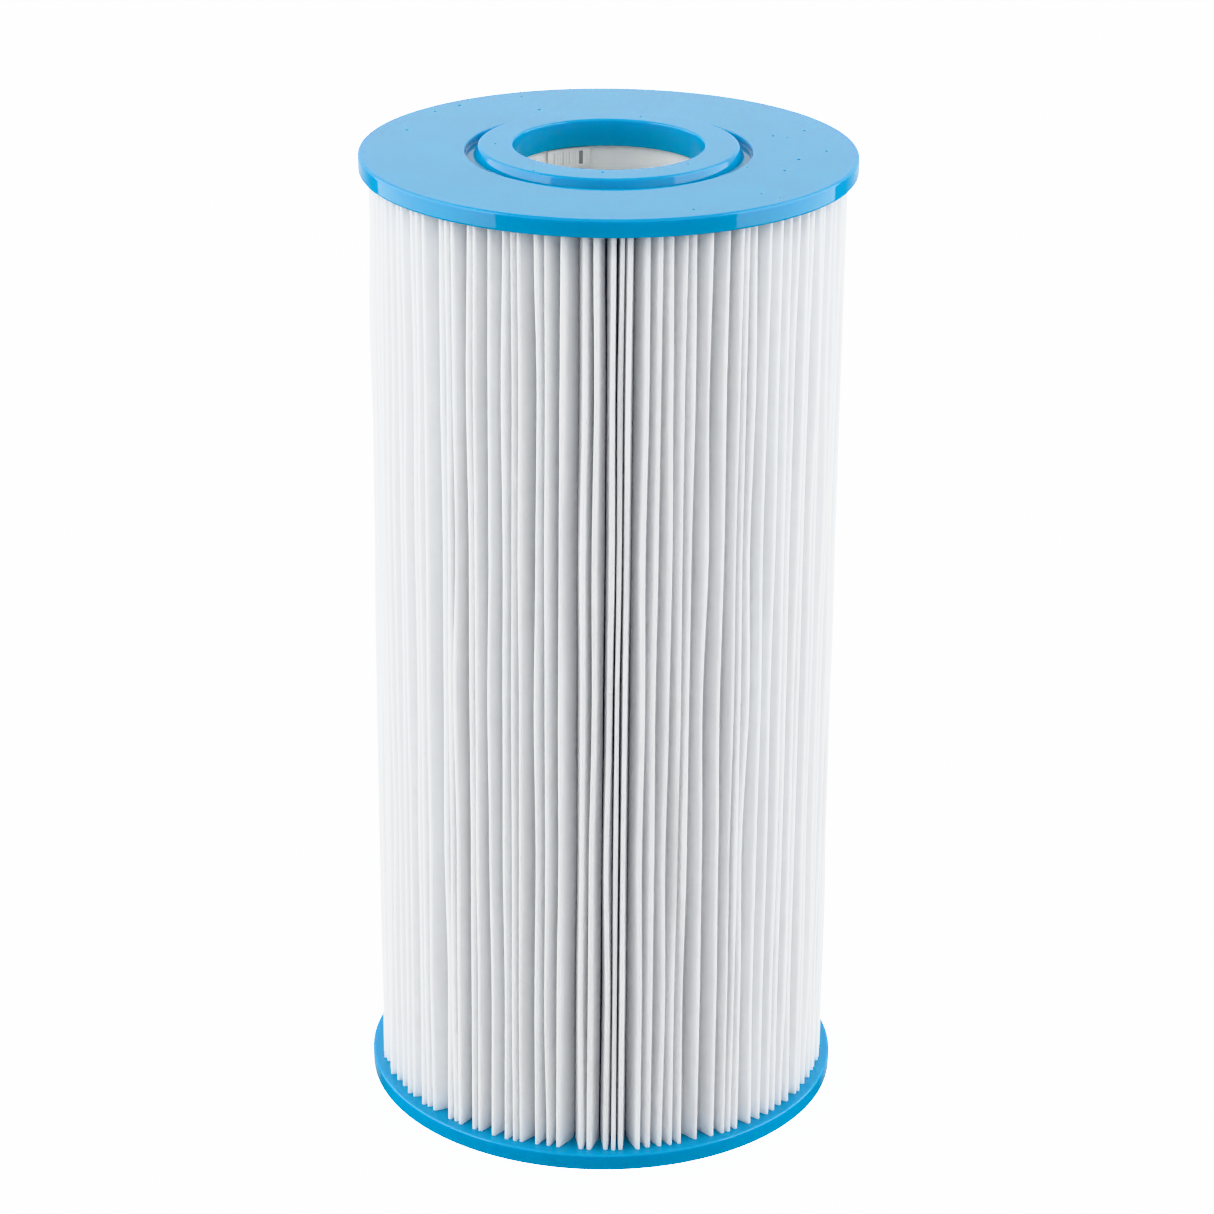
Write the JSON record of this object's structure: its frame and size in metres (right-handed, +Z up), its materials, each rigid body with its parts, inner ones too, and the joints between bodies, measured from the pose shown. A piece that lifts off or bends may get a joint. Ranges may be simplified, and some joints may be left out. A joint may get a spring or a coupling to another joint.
{
  "type": "pleated filter cartridge",
  "caption": "Tall round pleated filter cartridge: two flat cast end caps with a collared bore, folded fabric between them, and a slotted core tube inside.",
  "frame": {"origin": "on the axis, on the plane of the lower collar's face, which the cartridge stands on", "axes": "+Z up along the bore axis; the two caps are the same, so it can stand either way up; the fabric's seam faces +Y"},
  "size_m": [0.1778, 0.1778, 0.3683],
  "materials": {
    "cast_urethane": "glossy cast polyurethane in cyan blue, with a few small pin holes",
    "pleated_fabric": "matt white spunbonded polyester, pressed into sharp pleats",
    "seam_glue": "cream hot melt glue",
    "core_plastic": "satin off-white moulded plastic",
    "label_paper": "white paper with a plain row of grey bars"
  },
  "bodies": {
    "root": {"top_end_cap": "cast_urethane", "bottom_end_cap": "cast_urethane", "pleated_media": "pleated_fabric", "media_seam_bead": "seam_glue", "core_section_1": "core_plastic", "core_section_2": "core_plastic", "core_section_3": "core_plastic", "core_section_4": "core_plastic", "core_label": "label_paper"}
  },
  "joints": []
}
